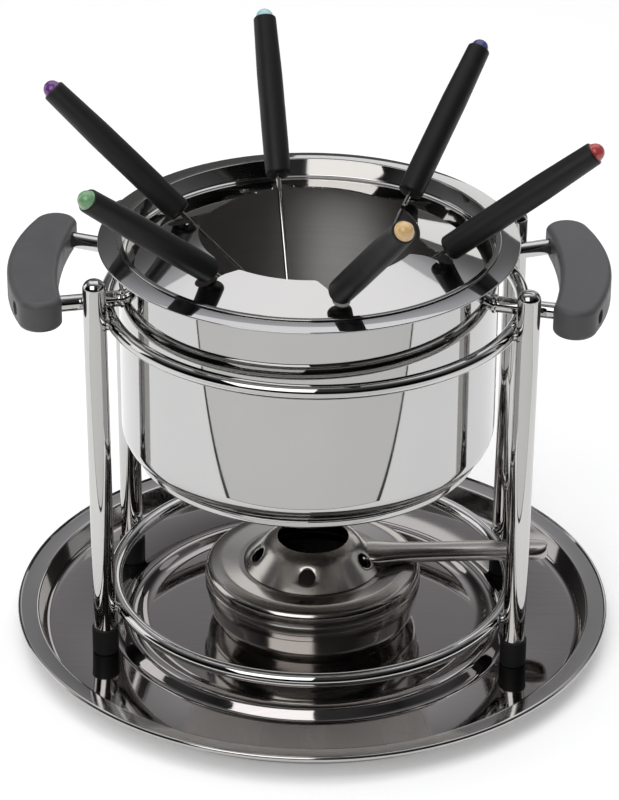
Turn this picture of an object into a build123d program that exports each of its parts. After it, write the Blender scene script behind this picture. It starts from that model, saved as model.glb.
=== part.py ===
"""Fondue set: tray, wire stand, hanging pot with splash guard, six forks and a spirit burner.

Millimetres, +Z up. The origin is the centre of the tray's underside. The handles lie along X.
"""

from build123d import *
from math import cos, radians, sin
import os

# ---- Driving dimensions -------------------------------------------------------------------

# Tray
TRAY_R = 150.0
TRAY_SHEET = 1.0
TRAY_RIM_R = 140.0
TRAY_RIM_Z = 12.4
TRAY_FLOOR_R = 136.0
TRAY_ROLL = 1.5
BEAD_R = 93.1
BEAD_HALF = 7.2
BEAD_Z = 6.5
INNER_FLOOR_Z = 1.9

# Stand
WIRE_R = 3.6
LOWER_RING_R = 100.3
LOWER_RING_Z = 25.4
UPPER_RING_R = 101.4
UPPER_RING_Z = 183.0
POST_R = 5.65
POST_FOOT_Z = 4.0
POST_TOP_Z = 207.6
POST_SINK = 0.1
FRONT_POST_ANGLE = 20.9
BACK_POST_ANGLE = 27.6
FOOT_R = 6.6
FOOT_TOP_Z = 14.9

# Pot
POT_X = -2.85
POT_TURN = 1.5
POT_R = 92.4
POT_SHEET = 1.0
POT_FLOOR_Z = 105.0
POT_CORNER_R = 12.0
RIM_R = 102.3
RIM_Z = 214.1
RIM_RISE = 1.0
BASE_R = 85.6
BASE_Z = 101.0

# Handles
ROD_R = 4.0
ROD_GAP = 0.2
ROD_END_R = 133.0
FRONT_ROD_ANGLE = 13.8
BACK_ROD_ANGLE = 20.0
GRIP_OUTER_R = 147.0
GRIP_WAIST_R = 122.0
GRIP_CENTRE_Y = 6.8
GRIP_HALF_LENGTH = 53.4
GRIP_SHOULDER = (138.0, 46.0)
GRIP_TOE = (117.0, 44.0)
GRIP_END_X = 129.0
GRIP_THICK = 15.7
GRIP_ROUND = 3.0
SCREW_R = 2.0
SCREW_HEAD_R = 3.5
SCREW_HEAD = 2.5
SCREW_GRIP = 9.0
SCREW_SEAT_R = 138.0

# Splash guard
GUARD_SHEET = 0.8
GUARD_R = 91.0
GUARD_LIP_R = 93.4
GUARD_SEAT_Z = 205.5
GUARD_EDGE_R = 53.5
GUARD_EDGE_Z = 217.0
NOTCH_COUNT = 6
NOTCH_FIRST = 45.5
NOTCH_HALF = 4.2
NOTCH_END_R = 72.0
NOTCH_MOUTH = [(50.0, 9.6), (54.5, 7.6), (58.5, 5.0), (64.0, NOTCH_HALF)]

# Forks
FORK_Z = 217.2
FORK_REACH = 154.0
FORK_HANDLE = 86.4
FORK_HANDLE_LOW_R = 6.5
FORK_HANDLE_TOP_R = 5.7
FORK_CAP = 4.5
FORK_CAP_R = 4.7
FORK_TANG = 25.0
SHANK_R = 1.25
PRONG_R = 0.9
PRONG_HALF = 2.6
PRONG_LENGTH = 22.0
PRONG_POINT = 4.0
# colour: angle of its notch, radius where it leans, lean from vertical, heading of its top end, roll
FORKS = {
    "teal": (106.0, 67.0, 45.3, 99.8, 45.0),
    "purple": (164.0, 66.0, 47.8, 168.7, 120.0),
    "green": (226.6, 64.4, 51.1, 218.3, 45.0),
    "tan": (284.7, 68.3, 47.5, 298.3, 60.0),
    "red": (346.0, 68.7, 52.1, 358.6, 120.0),
    "blue": (44.7, 66.6, 50.7, 60.6, 60.0),
}

# Burner
BURNER_SHEET = 0.8
CUP_FOOT_R = 44.0
CUP_BEAD_R = 48.6
CUP_NECK_R = 46.6
CUP_TOP_R = 51.5
CUP_TOP_Z = 28.0
SHELL_R = 54.5
SHELL_SKIRT_Z = 24.0
SHELL_TOP_Z = 33.6
SHELL_HOLE_R = 29.5
PAD_R = 45.0
PAD_TOP_Z = 21.0
GAUZE_R = 42.0
GAUZE_SHEET = 0.8
CAP_R = 35.0
CAP_Z = 34.0
SHOULDER_R = 22.9
SHOULDER_Z = 46.2
CAP_TOP_R = 17.6
CAP_TOP_Z = 48.0
CAP_SHEET = 0.8
SLEEVE_GAP = 0.5
VENT_COUNT = 5
VENT_FIRST = 51.0
VENT_R = 3.7
VENT_Z = 40.3
BLIND_VENT = 3
ARM_ANGLE = 5.5
ARM_END_R = 120.0
ARM_WIDTH = 12.6
ARM_DEPTH = 6.0
ARM_TOP_Z = 41.0
ARM_SHEET = 1.0
ARM_ROOT_R = 30.0

FULL_TURN = 360.0
EPS = 0.01


# ---- Helpers ------------------------------------------------------------------------------


def save(name, shape):
    """Write one sub-part to its own file."""
    shape.label = name
    export_step(shape, f"parts/{name}.step")


def spin(outline):
    """Turn a closed (radius, height) outline about the Z axis."""
    return revolve(Plane.XZ * make_face(outline), Axis.Z, FULL_TURN)


def closed(points):
    """A closed straight-sided outline."""
    return Polyline(*points, close=True)


def polar(radius, angle, height=0.0):
    """A point at a radius and an angle in degrees."""
    return Vector(radius * cos(radians(angle)), radius * sin(radians(angle)), height)


def disc(radius, low, high):
    """A cylinder between two heights."""
    return Pos(0, 0, low) * Cylinder(radius, high - low, align=(Align.CENTER, Align.CENTER, Align.MIN))


# ---- Tray ---------------------------------------------------------------------------------


def tray():
    """A shallow round dish with a rolled edge and a raised bead round the burner's place."""
    under = TRAY_SHEET
    top = [
        (0.0, INNER_FLOOR_Z),
        (BEAD_R - BEAD_HALF - 1.0, INNER_FLOOR_Z),
        (BEAD_R - BEAD_HALF * 0.45, BEAD_Z - 0.8),
        (BEAD_R, BEAD_Z),
        (BEAD_R + BEAD_HALF * 0.45, BEAD_Z - 1.0),
        (BEAD_R + BEAD_HALF, TRAY_SHEET),
        (TRAY_FLOOR_R, TRAY_SHEET),
        (TRAY_RIM_R - 0.6, TRAY_RIM_Z),
        (TRAY_R - TRAY_ROLL, TRAY_RIM_Z),
    ]
    bottom = [(r, z - under) for r, z in reversed(top[:7])]
    wall = [(TRAY_R - TRAY_ROLL, TRAY_RIM_Z - under), (TRAY_RIM_R + 0.3, TRAY_RIM_Z - under)]
    dish = spin(closed(top + wall + [(TRAY_FLOOR_R + 0.9, 0.0)] + bottom[1:]))
    roll = Pos(0, 0, TRAY_RIM_Z - 0.2) * Torus(TRAY_R - TRAY_ROLL, TRAY_ROLL)
    return dish + roll


# ---- Stand --------------------------------------------------------------------------------


def post_axis_radius(height):
    """Distance of a post's axis from the stand's axis: the posts stand outside both rings."""
    low = LOWER_RING_R + WIRE_R + POST_R - POST_SINK
    high = UPPER_RING_R + WIRE_R + POST_R - POST_SINK
    share = (height - LOWER_RING_Z) / (UPPER_RING_Z - LOWER_RING_Z)
    return low + share * (high - low)


def post(angle):
    """A round bar with a domed top, leaning slightly outwards."""
    foot = polar(post_axis_radius(POST_FOOT_Z), angle, POST_FOOT_Z)
    head = polar(post_axis_radius(POST_TOP_Z), angle, POST_TOP_Z)
    bar = Cylinder(POST_R, (head - foot).length, align=(Align.CENTER, Align.CENTER, Align.MIN))
    bar = fillet(bar.edges().filter_by(GeomType.CIRCLE).sort_by(Axis.Z)[-1], POST_R * 0.85)
    return Plane(origin=foot, z_dir=head - foot) * bar


def foot_cap(angle, bar):
    """A rubber cup pushed over the end of a post."""
    centre = polar(post_axis_radius(FOOT_TOP_Z / 2), angle)
    cup = Pos(centre.X, centre.Y, 0) * disc(FOOT_R, TRAY_SHEET, FOOT_TOP_Z)
    cup = fillet(cup.edges().filter_by(GeomType.CIRCLE), 0.6)
    return cup - bar


def stand():
    """Two wire rings welded inside four posts on rubber feet."""
    posts = {
        "front_left": 180.0 + FRONT_POST_ANGLE,
        "front_right": -FRONT_POST_ANGLE,
        "back_left": 180.0 - BACK_POST_ANGLE,
        "back_right": BACK_POST_ANGLE,
    }
    for place, angle in posts.items():
        bar = post(angle)
        save(f"post_{place}", bar)
        save(f"foot_{place}", foot_cap(angle, bar))
    save("lower_ring", Pos(0, 0, LOWER_RING_Z) * Torus(LOWER_RING_R, WIRE_R))
    save("upper_ring", Pos(0, 0, UPPER_RING_Z) * Torus(UPPER_RING_R, WIRE_R))


# ---- Pot ----------------------------------------------------------------------------------


def pot_body():
    """A straight-sided drawn pot with a rounded corner and a flared rim."""
    inner_r = POT_R - POT_SHEET
    rim_top = RIM_Z + RIM_RISE
    corner = POT_CORNER_R
    with BuildSketch(Plane.XZ) as section:
        with BuildLine():
            Line((0, POT_FLOOR_Z), (POT_R - corner, POT_FLOOR_Z))
            RadiusArc((POT_R - corner, POT_FLOOR_Z), (POT_R, POT_FLOOR_Z + corner), -corner)
            Polyline(
                (POT_R, POT_FLOOR_Z + corner),
                (POT_R, rim_top - POT_SHEET),
                (RIM_R, RIM_Z - POT_SHEET),
                (RIM_R, RIM_Z),
                (inner_r, rim_top),
                (inner_r, POT_FLOOR_Z + corner),
            )
            RadiusArc(
                (inner_r, POT_FLOOR_Z + corner),
                (POT_R - corner, POT_FLOOR_Z + POT_SHEET),
                corner - POT_SHEET,
            )
            Polyline((POT_R - corner, POT_FLOOR_Z + POT_SHEET), (0, POT_FLOOR_Z + POT_SHEET), (0, POT_FLOOR_Z))
        make_face()
    return revolve(section.sketch, Axis.Z, FULL_TURN)


def pot_base():
    """The thick heat-spreading disc under the pot."""
    plate = disc(BASE_R, BASE_Z, POT_FLOOR_Z)
    return chamfer(plate.edges().filter_by(GeomType.CIRCLE).sort_by(Axis.Z)[0], 1.0)


def rod_angles():
    """Each handle rod's angle about the pot's axis."""
    return {
        "front_left": 180.0 + FRONT_ROD_ANGLE,
        "front_right": -FRONT_ROD_ANGLE,
        "back_left": 180.0 - BACK_ROD_ANGLE,
        "back_right": BACK_ROD_ANGLE,
    }


def rod_height():
    """The rods lie just on the upper ring, whose height carries the pot."""
    return UPPER_RING_Z + WIRE_R + ROD_R + ROD_GAP


def along_rod(angle, radius, low, high):
    """A radial cylinder at the rods' height."""
    bar = Cylinder(radius, high - low, align=(Align.CENTER, Align.CENTER, Align.MIN))
    return Plane(origin=polar(low, angle, rod_height()), z_dir=polar(1.0, angle)) * bar


def screw(angle):
    """A pan-head screw that holds a grip on its rod."""
    shank = along_rod(angle, SCREW_R, ROD_END_R - SCREW_GRIP, SCREW_SEAT_R)
    head = along_rod(angle, SCREW_HEAD_R, SCREW_SEAT_R, SCREW_SEAT_R + SCREW_HEAD)
    return shank + head


def rod(angle):
    """A round bar welded to the pot's wall, drilled for its screw."""
    bar = along_rod(angle, ROD_R, POT_R - 6.0, ROD_END_R) - disc(POT_R, BASE_Z, RIM_Z)
    return bar - along_rod(angle, SCREW_R, ROD_END_R - SCREW_GRIP, ROD_END_R)


def grip(side):
    """A curved heat-resistant handle, bored for two rods and their screws."""
    out_x, out_y = GRIP_SHOULDER
    in_x, in_y = GRIP_TOE
    outline = (
        ThreePointArc((out_x, -out_y), (GRIP_OUTER_R, 0), (out_x, out_y))
        + ThreePointArc((out_x, out_y), (GRIP_END_X, GRIP_HALF_LENGTH), (in_x, in_y))
        + ThreePointArc((in_x, in_y), (GRIP_WAIST_R, 0), (in_x, -in_y))
        + ThreePointArc((in_x, -in_y), (GRIP_END_X, -GRIP_HALF_LENGTH), (out_x, -out_y))
    )
    face = make_face(outline)
    face = fillet(face.vertices(), 4.0)
    block = extrude(face, GRIP_THICK)
    block = fillet(block.edges().filter_by(Plane.XY), GRIP_ROUND)
    block = Pos(0, GRIP_CENTRE_Y, rod_height() - GRIP_THICK / 2) * block
    if side == "left":
        block = mirror(block, Plane.YZ)
    for place, angle in rod_angles().items():
        if place.endswith(side):
            block -= along_rod(angle, ROD_R, POT_R, ROD_END_R)
            block -= along_rod(angle, SCREW_R, ROD_END_R - EPS, SCREW_SEAT_R + EPS)
            block -= along_rod(angle, SCREW_HEAD_R, SCREW_SEAT_R, GRIP_OUTER_R + 5.0)
    return block


def pot():
    """The pot and its handles, hung in the stand by the rods."""
    place = Pos(POT_X, 0, 0) * Rot(0, 0, POT_TURN)
    save("pot_body", place * pot_body())
    save("pot_base_disc", place * pot_base())
    for name, angle in rod_angles().items():
        save(f"handle_rod_{name}", place * rod(angle))
    for side in ("left", "right"):
        save(f"grip_{side}", place * grip(side))
    screws = [place * screw(angle) for angle in rod_angles().values()]
    save("grip_screws", Compound(screws))


# ---- Splash guard -------------------------------------------------------------------------


def notch(angle):
    """A cutter for one funnel-mouthed, round-ended slot, in which a fork leans."""
    end = NOTCH_END_R - NOTCH_HALF
    low_side = [(r, -half) for r, half in NOTCH_MOUTH]
    with BuildSketch() as plan:
        with BuildLine():
            Spline(*NOTCH_MOUTH)
            Line(NOTCH_MOUTH[-1], (end, NOTCH_HALF))
            ThreePointArc((end, NOTCH_HALF), (NOTCH_END_R, 0), (end, -NOTCH_HALF))
            Line((end, -NOTCH_HALF), low_side[-1])
            Spline(*low_side)
            Line(low_side[0], NOTCH_MOUTH[0])
        make_face()
    depth = GUARD_EDGE_Z - GUARD_SEAT_Z + 5.0
    return Rot(0, 0, angle) * (Pos(0, 0, GUARD_SEAT_Z) * extrude(plan.sketch, depth))


def splash_guard():
    """A dished ring that drops into the pot's mouth and hangs by its lip."""
    lip_z = RIM_Z + RIM_RISE + 0.15
    thick = GUARD_SHEET
    inner = GUARD_R - thick
    outline = closed(
        [
            (GUARD_EDGE_R, GUARD_EDGE_Z),
            (GUARD_EDGE_R, GUARD_EDGE_Z - thick),
            (inner - 3.0, GUARD_SEAT_Z + 0.2),
            (inner - 1.0, GUARD_SEAT_Z - 0.6),
            (GUARD_R, GUARD_SEAT_Z),
            (GUARD_R, lip_z),
            (GUARD_LIP_R, lip_z),
            (GUARD_LIP_R, lip_z + thick),
            (inner, lip_z + thick),
            (inner, GUARD_SEAT_Z + 1.0),
            (inner - 1.6, GUARD_SEAT_Z + 0.3),
            (inner - 3.0, GUARD_SEAT_Z + 1.05),
        ]
    )
    ring = spin(outline)
    for k in range(NOTCH_COUNT):
        ring -= notch(NOTCH_FIRST + k * FULL_TURN / NOTCH_COUNT)
    return Pos(POT_X, 0, 0) * ring


# ---- Forks --------------------------------------------------------------------------------


def fork_place(angle, radius, lean, heading, roll):
    """A fork's own frame: origin at the foot of its handle, local Z up the fork, local X across its prongs."""
    foot = polar(radius, angle, FORK_Z) + Vector(POT_X, 0, 0)
    up = polar(sin(radians(lean)), heading, cos(radians(lean)))
    level = Plane(origin=foot, x_dir=polar(1.0, heading + 90.0), z_dir=up)
    return level.location * Rot(0, 0, roll)


def fork_prongs():
    """The wire shank with its tang, and two pointed prongs."""
    prong_top = -FORK_REACH + PRONG_LENGTH
    wire = disc(SHANK_R, prong_top, FORK_TANG)
    yoke = Pos(0, 0, prong_top) * Box(2 * (PRONG_HALF + PRONG_R), 2 * PRONG_R, 3.0)
    steel = wire + fillet(yoke.edges().filter_by(Axis.Y), 0.9)
    for side in (-1, 1):
        tine = disc(PRONG_R, -FORK_REACH + PRONG_POINT, prong_top)
        point = Pos(0, 0, -FORK_REACH) * Cone(
            0.2, PRONG_R, PRONG_POINT, align=(Align.CENTER, Align.CENTER, Align.MIN)
        )
        steel += Pos(side * PRONG_HALF, 0, 0) * (tine + point)
    return steel


def fork_handle():
    """A tapered round handle, bored for the tang."""
    body = Cone(
        FORK_HANDLE_LOW_R, FORK_HANDLE_TOP_R, FORK_HANDLE, align=(Align.CENTER, Align.CENTER, Align.MIN)
    )
    body = fillet(body.edges().filter_by(GeomType.CIRCLE).sort_by(Axis.Z)[0], 2.4)
    body = fillet(body.edges().filter_by(GeomType.CIRCLE).sort_by(Axis.Z)[-1], 0.9)
    return body - disc(SHANK_R, -1.0, FORK_TANG)


def fork_cap():
    """The coloured domed end that tells the guests' forks apart."""
    knob = disc(FORK_CAP_R, FORK_HANDLE, FORK_HANDLE + FORK_CAP)
    return fillet(knob.edges().filter_by(GeomType.CIRCLE).sort_by(Axis.Z)[-1], FORK_CAP_R * 0.8)


def forks():
    """Six forks leaning outwards over the guard."""
    for colour, pose in FORKS.items():
        place = fork_place(*pose)
        save(f"fork_{colour}_prongs", place * fork_prongs())
        save(f"fork_{colour}_handle", place * fork_handle())
        save(f"fork_{colour}_cap", place * fork_cap())


# ---- Burner -------------------------------------------------------------------------------


def burner_cup():
    """The spun reservoir, with a bead round its foot."""
    t = BURNER_SHEET
    low = INNER_FLOOR_Z
    outer = [
        (CUP_FOOT_R, low),
        (CUP_BEAD_R - 0.6, low + 3.5),
        (CUP_BEAD_R, low + 8.0),
        (CUP_BEAD_R - 0.4, low + 12.0),
        (CUP_NECK_R, low + 14.0),
        (CUP_TOP_R - 1.0, low + 17.0),
        (CUP_TOP_R, low + 20.0),
        (CUP_TOP_R, CUP_TOP_Z),
    ]
    inner = [(r - t, z) for r, z in reversed(outer[1:])]
    return spin(closed([(0, low)] + outer + inner + [(CUP_FOOT_R - t, low + t), (0, low + t)]))


def fibre_pad():
    """The absorbent wad that holds the fuel."""
    pad = disc(PAD_R, INNER_FLOOR_Z + BURNER_SHEET + 3.0, PAD_TOP_Z)
    return fillet(pad.edges().filter_by(GeomType.CIRCLE), 1.5)


def gauze():
    """The round wire gauze that keeps the wad down."""
    return disc(GAUZE_R, PAD_TOP_Z, PAD_TOP_Z + GAUZE_SHEET)


def burner_shell():
    """The rounded cover that closes the cup round its mouth."""
    t = BURNER_SHEET
    outline = closed(
        [
            (SHELL_R - 1.4, SHELL_SKIRT_Z),
            (SHELL_R - 0.2, SHELL_SKIRT_Z + 2.5),
            (SHELL_R, SHELL_TOP_Z - 5.0),
            (SHELL_R - 0.8, SHELL_TOP_Z - 3.4),
            (SHELL_R - 2.6, SHELL_TOP_Z - 1.6),
            (SHELL_R - 6.0, SHELL_TOP_Z - 0.5),
            (SHELL_R - 11.0, SHELL_TOP_Z),
            (SHELL_HOLE_R, SHELL_TOP_Z),
            (SHELL_HOLE_R, SHELL_TOP_Z - t),
            (SHELL_R - 11.2, SHELL_TOP_Z - t),
            (SHELL_R - 6.4, SHELL_TOP_Z - 0.5 - t),
            (SHELL_R - 3.2, SHELL_TOP_Z - 2.2),
            (SHELL_R - t - 0.8, SHELL_TOP_Z - 3.8),
            (SHELL_R - t, SHELL_TOP_Z - 5.2),
            (SHELL_R - t - 0.2, SHELL_SKIRT_Z + 2.7),
            (SHELL_R - t - 1.4, SHELL_SKIRT_Z),
        ]
    )
    return spin(outline)


def cone_radius(height):
    """The regulator cap's outer radius at a height below its shoulder."""
    return CAP_R - (CAP_R - SHOULDER_R) * (height - CAP_Z) / (SHOULDER_Z - CAP_Z)


def vent_cutter(k):
    """The radial drill of one vent, square to the cap's slope."""
    angle = VENT_FIRST + k * FULL_TURN / VENT_COUNT
    slope = (CAP_R - SHOULDER_R) / (SHOULDER_Z - CAP_Z)
    return Plane(origin=polar(cone_radius(VENT_Z), angle, VENT_Z), z_dir=polar(1.0, angle, slope)) * Cylinder(
        VENT_R, 12.0
    )


def cone_shell(inset, foot_z, vents):
    """A shouldered cone parallel to the cap, drilled with some of the ring of vents."""
    t = CAP_SHEET
    drop = inset * 0.6
    low_r = cone_radius(foot_z) - inset
    shell = spin(
        closed(
            [
                (low_r, foot_z),
                (SHOULDER_R - inset, SHOULDER_Z - drop),
                (CAP_TOP_R - inset, CAP_TOP_Z - drop),
                (CAP_TOP_R - inset, CAP_TOP_Z - drop - t),
                (SHOULDER_R - inset - t, SHOULDER_Z - drop - t * 0.6),
                (low_r - t * 1.3, foot_z),
            ]
        )
    )
    for k in vents:
        shell -= vent_cutter(k)
    return shell


def inner_sleeve():
    """The fixed cone under the regulator, blind behind one of its vents."""
    vents = [k for k in range(VENT_COUNT) if k != BLIND_VENT]
    return cone_shell(CAP_SHEET + SLEEVE_GAP, SHELL_TOP_Z, vents)


def regulator_cap():
    """The shouldered cone that turns on the sleeve."""
    return cone_shell(0.0, CAP_Z, range(VENT_COUNT))


def regulator_arm():
    """A pressed channel that flares from the cap and widens at its end, open underneath."""
    half = ARM_WIDTH / 2
    length = ARM_END_R - ARM_ROOT_R
    side = [
        (ARM_ROOT_R, half * 1.9),
        (ARM_ROOT_R + length * 0.12, half * 1.35),
        (ARM_ROOT_R + length * 0.28, half),
        (ARM_END_R - half * 2.4, half),
        (ARM_END_R - half * 1.1, half * 1.1),
    ]
    mirrored = [(x, -y) for x, y in side]
    with BuildSketch() as plan:
        with BuildLine():
            Polyline(*side)
            ThreePointArc(side[-1], (ARM_END_R, 0), mirrored[-1])
            Polyline(*mirrored)
            Line(mirrored[0], side[0])
        make_face()
    block = Pos(0, 0, ARM_TOP_Z - ARM_DEPTH) * extrude(plan.sketch, ARM_DEPTH)
    block = fillet(block.faces().sort_by(Axis.Z)[-1].edges(), 1.6)
    hollow = Pos(0, 0, ARM_TOP_Z - ARM_DEPTH) * extrude(offset(plan.sketch, -ARM_SHEET), ARM_DEPTH - ARM_SHEET)
    foot = CAP_Z - 5.0
    inside_cap = spin(closed([(0, foot), (cone_radius(foot), foot), (SHOULDER_R, SHOULDER_Z), (0, SHOULDER_Z)]))
    return Rot(0, 0, ARM_ANGLE) * (block - hollow - inside_cap)


def burner():
    """The spirit burner and its turning regulator."""
    save("burner_cup", burner_cup())
    save("fibre_pad", fibre_pad())
    save("wire_gauze", gauze())
    save("burner_shell", burner_shell())
    save("inner_sleeve", inner_sleeve())
    save("regulator_cap", regulator_cap())
    save("regulator_arm", regulator_arm())


# ---- Build --------------------------------------------------------------------------------

os.makedirs("parts", exist_ok=True)
save("tray", tray())
stand()
pot()
save("splash_guard", splash_guard())
forks()
burner()
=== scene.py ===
"""Looks of the fondue set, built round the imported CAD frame.

Dimensions are millimetres, multiplied by MM where they meet Blender, except for the stage and camera,
which are in metres. +Z is up, the pot's handles lie along X and -Y is the front.
"""

import math

import bmesh
import bpy
from mathutils import Matrix, Vector


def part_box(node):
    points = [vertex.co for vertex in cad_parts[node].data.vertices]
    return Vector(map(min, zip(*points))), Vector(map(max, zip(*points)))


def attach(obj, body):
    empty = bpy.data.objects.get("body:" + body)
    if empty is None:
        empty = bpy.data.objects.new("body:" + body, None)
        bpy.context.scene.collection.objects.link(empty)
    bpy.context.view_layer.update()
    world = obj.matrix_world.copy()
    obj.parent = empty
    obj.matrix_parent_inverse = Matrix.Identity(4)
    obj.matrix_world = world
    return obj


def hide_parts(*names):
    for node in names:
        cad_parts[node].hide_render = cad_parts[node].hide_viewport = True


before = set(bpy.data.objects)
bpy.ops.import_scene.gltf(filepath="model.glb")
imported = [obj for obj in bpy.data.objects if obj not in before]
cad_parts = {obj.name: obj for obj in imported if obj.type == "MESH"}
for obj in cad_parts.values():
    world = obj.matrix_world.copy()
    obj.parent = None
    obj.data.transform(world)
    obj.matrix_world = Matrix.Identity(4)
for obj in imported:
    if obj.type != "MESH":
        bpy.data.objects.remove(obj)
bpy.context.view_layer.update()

# ---- Driving dimensions, in millimetres and degrees ------------------------------------------

MM = 0.001
FULL_TURN = 2 * math.pi
SIDES = ("left", "right")
PLACES = ("front_left", "front_right", "back_left", "back_right")

# Tray
TRAY_MIDDLE_Z = 1.9
TRAY_CHANNEL_Z = 1.0
TRAY_CHANNEL_R = 136.0
TRAY_RIM_R = 139.4
TRAY_RIM_Z = 12.4
TRAY_ROLL = 1.5
TRAY_SHEET = 1.0
BEAD_R = 93.1
BEAD_HALF = 7.5
BEAD_CREST = (90.0, 95.8)
BEAD_Z = 6.5

# Stand: each ring is (radius, height)
RINGS = {"lower": (100.3, 25.4), "upper": (101.4, 183.0)}
WIRE_R = 3.6
POST_R = 5.65
POST_DOME_R = 4.9
FOOT_R = 6.6
FOOT_MOUTH_R = 5.7
WELD_REACH = 3.3
WELD_HALF = (2.0, 3.6, 2.6)

# Pot
POT_X = -2.85
POT_TURN = 1.5
POT_R = 92.4
POT_SHEET = 1.0
POT_FLOOR_Z = 105.0
POT_CORNER_R = 12.0
RIM_R = 102.3
RIM_Z = 214.1
RIM_EDGE_R = 0.5
BASE_R = 85.6
BASE_Z = 101.0

# Handle bars
ROD_ANGLES = {"front_left": 193.8, "front_right": -13.8, "back_left": 160.0, "back_right": 20.0}
ROD_Z = 190.8
ROD_R = 4.0
ROD_WELD_R = 4.7
ROD_START_R = 91.6
ROD_END_R = 133.0

# Splash guard
GUARD_SHEET = 0.8
GUARD_EDGE_R = 53.5
GUARD_SEAT_R = 87.2
GUARD_SEAT_Z = 206.55
GUARD_SLOPE = 0.3101
GUARD_LIP_R = 92.6
GUARD_LIP_Z = 215.7
NOTCHES = 6
NOTCH_FIRST = 45.5
NOTCH_HALF = 4.2
NOTCH_END_R = 72.0

# Forks. Colour: angle of its notch, radius where it leans, lean from vertical, heading of its top end, roll
FORKS = {
    "teal": (106.0, 67.0, 45.3, 99.8, 45.0),
    "purple": (164.0, 66.0, 47.8, 168.7, 120.0),
    "green": (226.6, 64.4, 51.1, 218.3, 45.0),
    "tan": (284.7, 68.3, 47.5, 298.3, 60.0),
    "red": (346.0, 68.7, 52.1, 358.6, 120.0),
    "blue": (44.7, 66.6, 50.7, 60.6, 60.0),
}
FORK_Z = 217.2
FORK_REACH = 154.0
FORK_TANG = 25.0
TINE_LENGTH = 22.0
TINE_HALF_GAP = 2.6
TINE_R = 0.9
SHANK_R = 1.25
FORK_HANDLE = 86.4
FORK_HANDLE_LOW_R = 6.5
FORK_HANDLE_TOP_R = 5.7
FORK_CAP_R = 4.7
FORK_DOME_R = 4.4

# Burner
CUP_FOOT_R = 47.8
CUP_BELLY_R = 52.3
CUP_WALL_R = 53.5
CUP_TOP_Z = 27.0
BURNER_SHEET = 0.8
SHELL_R = 54.5
SHELL_SKIRT_Z = 21.0
SHELL_SEAM_Z = 26.4
SHELL_RING_Z = 34.6
SHELL_HOLE_R = 29.5
SHELL_HOLE_Z = 33.5
# Inside this radius the shell takes the near-black steel: painted shade where the cap covers it.
SHADE_PAINT_R = 35.5
PAD_R = 45.0
PAD_FLOOR_Z = 5.7
PAD_TOP_Z = 21.0
GAUZE_R = 41.4
GAUZE_Z = 21.4
GAUZE_PITCH = 2.6
GAUZE_WIRE_R = 0.19

# Regulator
CAP_R = 35.0
CAP_Z = 34.0
CAP_TOP_R = 18.1
CAP_TOP_Z = 48.0
CAP_SHEET = 0.7
SHOULDER_R = 22.6
SHOULDER_Z = 46.5
SHOULDER_ROUND = 11.0
SLEEVE_INSET = 1.3
SLEEVE_Z = 33.7
VENTS = 5
VENT_R = 4.2
VENT_Z = 40.3
VENT_FIRST = 51.0
BLIND_VENT = 3
ARM_ANGLE = 5.5
ARM_SHEET = 0.8

# The arm, from the cone outwards: reach, half width, height of its crown, depth
ARM_STATIONS = (
    (25.0, 9.0, 41.6, 6.3),
    (29.0, 9.9, 41.6, 6.3),
    (33.0, 10.2, 41.5, 6.2),
    (37.0, 9.4, 41.3, 6.1),
    (42.0, 8.3, 41.1, 6.0),
    (50.0, 7.4, 41.0, 5.9),
    (62.0, 7.0, 41.0, 5.8),
    (85.0, 6.9, 41.1, 5.8),
    (103.0, 7.0, 41.2, 5.8),
    (110.0, 7.5, 41.2, 5.8),
    (115.0, 7.3, 41.2, 5.8),
    (118.3, 5.4, 41.0, 5.6),
    (119.7, 2.6, 40.7, 5.3),
)

# Stage, in metres. Softboxes: place, aim, width, height and radiance
AIM = (0.0, 0.0, 0.12)
PANELS = {
    "overhead": ((0.0, 0.75, 1.7), AIM, 2.2, 1.3, 0.55),
    "front_left": ((-0.53, -1.15, 1.30), (-0.53, 0.0, 0.12), 1.2, 1.2, 2.4),
    "back_right": ((0.63, 2.0, 0.80), (0.63, 0.0, 0.21), 1.5, 0.50, 1.0),
    "fill": ((0.0, -0.1, 1.9), AIM, 2.0, 2.0, 1.85),
    "left_side": ((-2.0, 0.6, 0.7), AIM, 1.0, 1.2, 1.3),
    "right_side": ((2.0, 0.9, 0.8), AIM, 0.8, 1.2, 0.5),
}
FLOOR_HALF = 4.0
SHEET_HALF = 0.424
SHEET_BACK = -0.206
SHEET_FRONT = -1.6
SHEET_CORNER = 0.016
SEAM_WIDTH = 0.006
SEAM_CORNER = 0.02

# Camera, in metres and degrees
CAMERA_LENS = 152.6
CAMERA_PLACE = (0.06302, -1.48319, 0.90986)
CAMERA_FORWARD = (-0.03870623, 0.88409384, -0.46570367)
CAMERA_ROLL = 0.392
CAMERA_SHIFT = (-0.000725, -0.0072)


# ---- Mesh helpers ----------------------------------------------------------------------------


def span_of(node):
    """Lowest and highest corners of a CAD node, in millimetres."""
    low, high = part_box(node)
    return low / MM, high / MM


def polar(radius, degrees, height=0.0):
    """A point at a radius and an angle."""
    turn = math.radians(degrees)
    return Vector((radius * math.cos(turn), radius * math.sin(turn), height))


def circle(sides):
    """Cosines and sines round a circle."""
    return [(math.cos(FULL_TURN * i / sides), math.sin(FULL_TURN * i / sides)) for i in range(sides)]


def arc(centre, radius, start, stop, steps):
    """Points on an arc, with angles in degrees."""
    turns = [math.radians(start + (stop - start) * i / steps) for i in range(steps + 1)]
    return [(centre[0] + radius * math.cos(t), centre[1] + radius * math.sin(t)) for t in turns]


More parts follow.
